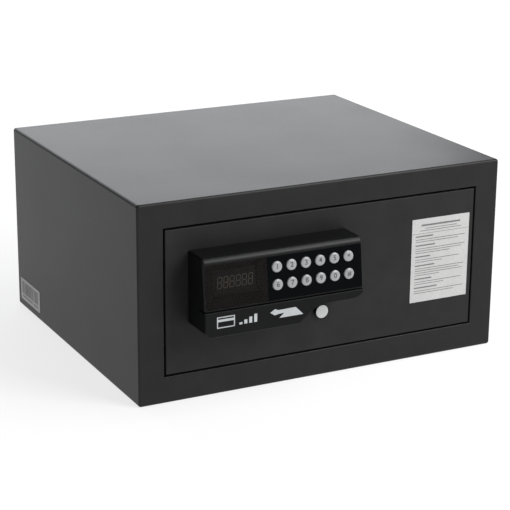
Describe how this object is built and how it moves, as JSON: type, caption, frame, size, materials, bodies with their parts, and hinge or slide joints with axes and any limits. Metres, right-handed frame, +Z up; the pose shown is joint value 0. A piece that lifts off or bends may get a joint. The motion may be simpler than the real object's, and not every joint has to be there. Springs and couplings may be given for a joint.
{
  "type": "in-room safe",
  "caption": "Low steel hotel safe with a flush side-hinged door, projecting keypad and card-reader housing, and a pull-off cap over the override lock.",
  "frame": {"origin": "centre of the underside", "axes": "+X along the width towards the hinge side, +Y from the door to the back, +Z up"},
  "size_m": [0.4303, 0.4005, 0.215],
  "materials": {
    "cabinet_paint": "fine-texture satin powder coat, charcoal",
    "frame_paint": "fine-texture satin powder coat, charcoal",
    "door_paint": "fine-texture satin powder coat, charcoal",
    "housing_plastic": "fine-grain moulded ABS",
    "panel_plastic": "semi-gloss printed overlay",
    "smoked_lens": "smoked brown acrylic",
    "key_plastic": "silver painted key caps",
    "label_vinyl": "matt vinyl",
    "bright_cap": "pale satin cap",
    "steel": "zinc plated",
    "bronze": "satin brass and bronze",
    "inner_plastic": "black moulded plastic",
    "gear_plastic": "natural acetal",
    "board": "green solder mask",
    "rubber": "soft matt",
    "red_plastic": "moulded red",
    "battery_wrap": "printed sleeve without marks",
    "felt": "needle-punched charcoal felt"
  },
  "bodies": {
    "cabinet": {"body_wrap": "cabinet_paint", "floor_mat": "felt", "rear_panel": "cabinet_paint", "front_frame": "frame_paint", "hinge_bushes": "bronze", "side_label": "label_vinyl"},
    "door": {"batteries": "battery_wrap", "battery_tray": "inner_plastic", "bolt_guides": "bronze", "control_board": "board", "cover_screws": "steel", "display_lens": "smoked_lens", "display_module": "inner_plastic", "door_pan": "door_paint", "door_plate": "door_paint", "gearbox": "inner_plastic", "guide_posts": "steel", "hinge_blocks": "door_paint", "hinge_pins": "steel", "housing_screws": "steel", "inner_cover": "inner_plastic", "instruction_label": "label_vinyl", "key_mat": "rubber", "keypad_board": "board", "keypad_panel": "panel_plastic", "lock_barrel": "bronze", "lock_nut": "bronze", "lower_fascia": "housing_plastic", "motor": "steel", "override_switch": "inner_plastic", "read_head": "rubber", "reset_switch": "inner_plastic", "ribbon_cable": "rubber", "upper_housing": "housing_plastic"},
    "bolts": {"locking_bolts": "steel", "bolt_carriage": "steel", "bolt_screws": "steel"},
    "drive_gear": {"drive_gear": "gear_plastic"},
    "override_cap": {"override_cap": "bright_cap"},
    "lock_plug": {"lock_plug": "bronze"},
    "battery_cover": {"battery_cover": "inner_plastic"},
    "reset_button": {"reset_button": "red_plastic"},
    "key_01": {"key_01": "key_plastic"},
    "key_02": {"key_02": "key_plastic"},
    "key_03": {"key_03": "key_plastic"},
    "key_04": {"key_04": "key_plastic"},
    "key_05": {"key_05": "key_plastic"},
    "key_06": {"key_06": "key_plastic"},
    "key_07": {"key_07": "key_plastic"},
    "key_08": {"key_08": "key_plastic"},
    "key_09": {"key_09": "key_plastic"},
    "key_10": {"key_10": "key_plastic"},
    "key_11": {"key_11": "key_plastic"},
    "key_12": {"key_12": "key_plastic"}
  },
  "joints": [
    {"name": "door_hinge", "type": "hinge", "parent": "cabinet", "child": "door", "pos_m": [0.1625, -0.172, 0.1], "axis": [0, 0, 1], "range_deg": [0, 105]},
    {"name": "bolt_slide", "type": "slide", "parent": "door", "child": "bolts", "axis": [-1, 0, 0], "range_m": [0, 0.02]},
    {"name": "drive_gear_turn", "type": "hinge", "parent": "door", "child": "drive_gear", "pos_m": [-0.078, -0.157, 0.118], "axis": [0, 1, 0], "range_deg": [0, 103]},
    {"name": "override_cap_pull", "type": "slide", "parent": "door", "child": "override_cap", "axis": [0, -1, 0], "range_m": [0, 0.02]},
    {"name": "lock_plug_turn", "type": "hinge", "parent": "door", "child": "lock_plug", "pos_m": [-0.0056, -0.17, 0.074], "axis": [0, 1, 0], "range_deg": [0, 90]},
    {"name": "battery_cover_slide", "type": "slide", "parent": "door", "child": "battery_cover", "axis": [1, 0, 0], "range_m": [0, 0.055]},
    {"name": "reset_button_press", "type": "slide", "parent": "door", "child": "reset_button", "axis": [0, -1, 0], "range_m": [0, 0.0012], "stiffness_N_per_m": 500},
    {"name": "key_01_press", "type": "slide", "parent": "door", "child": "key_01", "axis": [0, 0.9922, -0.1243], "range_m": [0, 0.001], "stiffness_N_per_m": 600},
    {"name": "key_02_press", "type": "slide", "parent": "door", "child": "key_02", "axis": [0, 0.9922, -0.1243], "range_m": [0, 0.001], "stiffness_N_per_m": 600},
    {"name": "key_03_press", "type": "slide", "parent": "door", "child": "key_03", "axis": [0, 0.9922, -0.1243], "range_m": [0, 0.001], "stiffness_N_per_m": 600},
    {"name": "key_04_press", "type": "slide", "parent": "door", "child": "key_04", "axis": [0, 0.9922, -0.1243], "range_m": [0, 0.001], "stiffness_N_per_m": 600},
    {"name": "key_05_press", "type": "slide", "parent": "door", "child": "key_05", "axis": [0, 0.9922, -0.1243], "range_m": [0, 0.001], "stiffness_N_per_m": 600},
    {"name": "key_06_press", "type": "slide", "parent": "door", "child": "key_06", "axis": [0, 0.9922, -0.1243], "range_m": [0, 0.001], "stiffness_N_per_m": 600},
    {"name": "key_07_press", "type": "slide", "parent": "door", "child": "key_07", "axis": [0, 0.9922, -0.1243], "range_m": [0, 0.001], "stiffness_N_per_m": 600},
    {"name": "key_08_press", "type": "slide", "parent": "door", "child": "key_08", "axis": [0, 0.9922, -0.1243], "range_m": [0, 0.001], "stiffness_N_per_m": 600},
    {"name": "key_09_press", "type": "slide", "parent": "door", "child": "key_09", "axis": [0, 0.9922, -0.1243], "range_m": [0, 0.001], "stiffness_N_per_m": 600},
    {"name": "key_10_press", "type": "slide", "parent": "door", "child": "key_10", "axis": [0, 0.9922, -0.1243], "range_m": [0, 0.001], "stiffness_N_per_m": 600},
    {"name": "key_11_press", "type": "slide", "parent": "door", "child": "key_11", "axis": [0, 0.9922, -0.1243], "range_m": [0, 0.001], "stiffness_N_per_m": 600},
    {"name": "key_12_press", "type": "slide", "parent": "door", "child": "key_12", "axis": [0, 0.9922, -0.1243], "range_m": [0, 0.001], "stiffness_N_per_m": 600}
  ],
  "couplings": [
    {"joint": "drive_gear_turn", "follows": "bolt_slide", "rad_per_m": 88.889}
  ]
}
